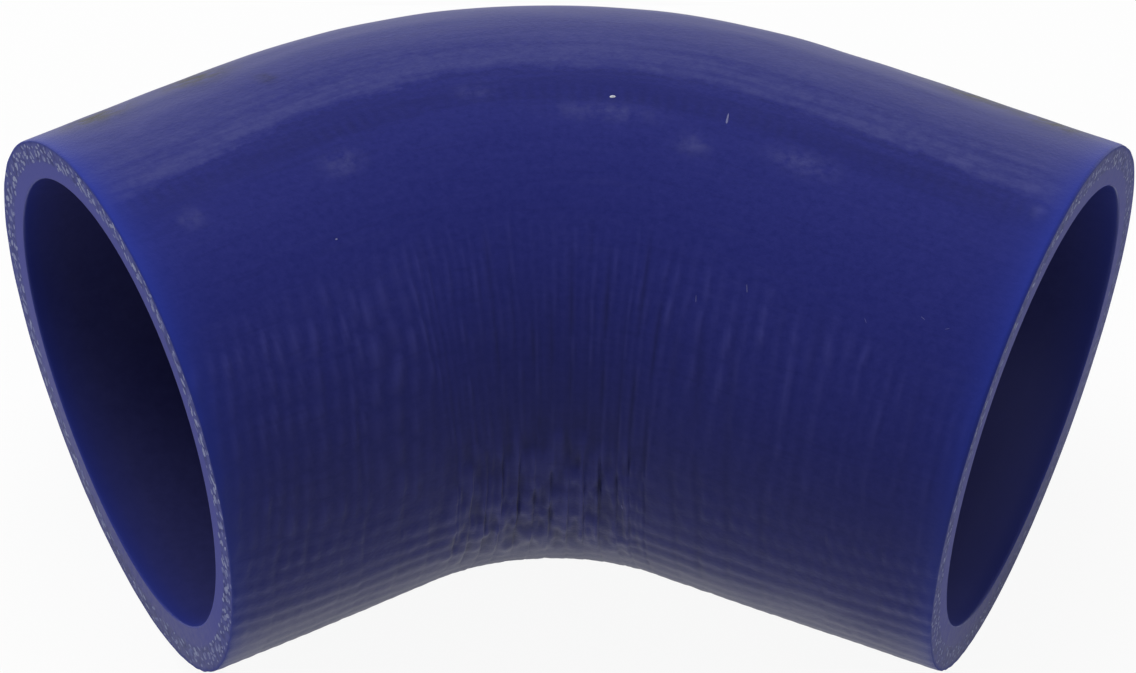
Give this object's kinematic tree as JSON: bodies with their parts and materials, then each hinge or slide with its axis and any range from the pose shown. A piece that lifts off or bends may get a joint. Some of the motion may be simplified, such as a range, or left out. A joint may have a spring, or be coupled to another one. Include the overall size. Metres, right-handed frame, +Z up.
{
  "type": "silicone elbow hose",
  "caption": "Bent connector hose of fabric reinforced blue silicone, a hollow elbow with short straight legs and plain cut mouths, for joining metal pipes in an engine bay.",
  "frame": {"origin": "under the middle of the hose's box, on the surface that it lies on", "axes": "+X along the long extent, from the short leg's mouth to the long leg's mouth, +Y to the outside of the bend, +Z up; the hose lies on its side, so its bend is level"},
  "size_m": [0.1342, 0.082, 0.0655],
  "materials": {
    "blue_silicone": "satin dark ultramarine silicone with a pressed wrap texture, paler where it is cut"
  },
  "bodies": {
    "root": {"elbow_hose": "blue_silicone"}
  },
  "joints": []
}
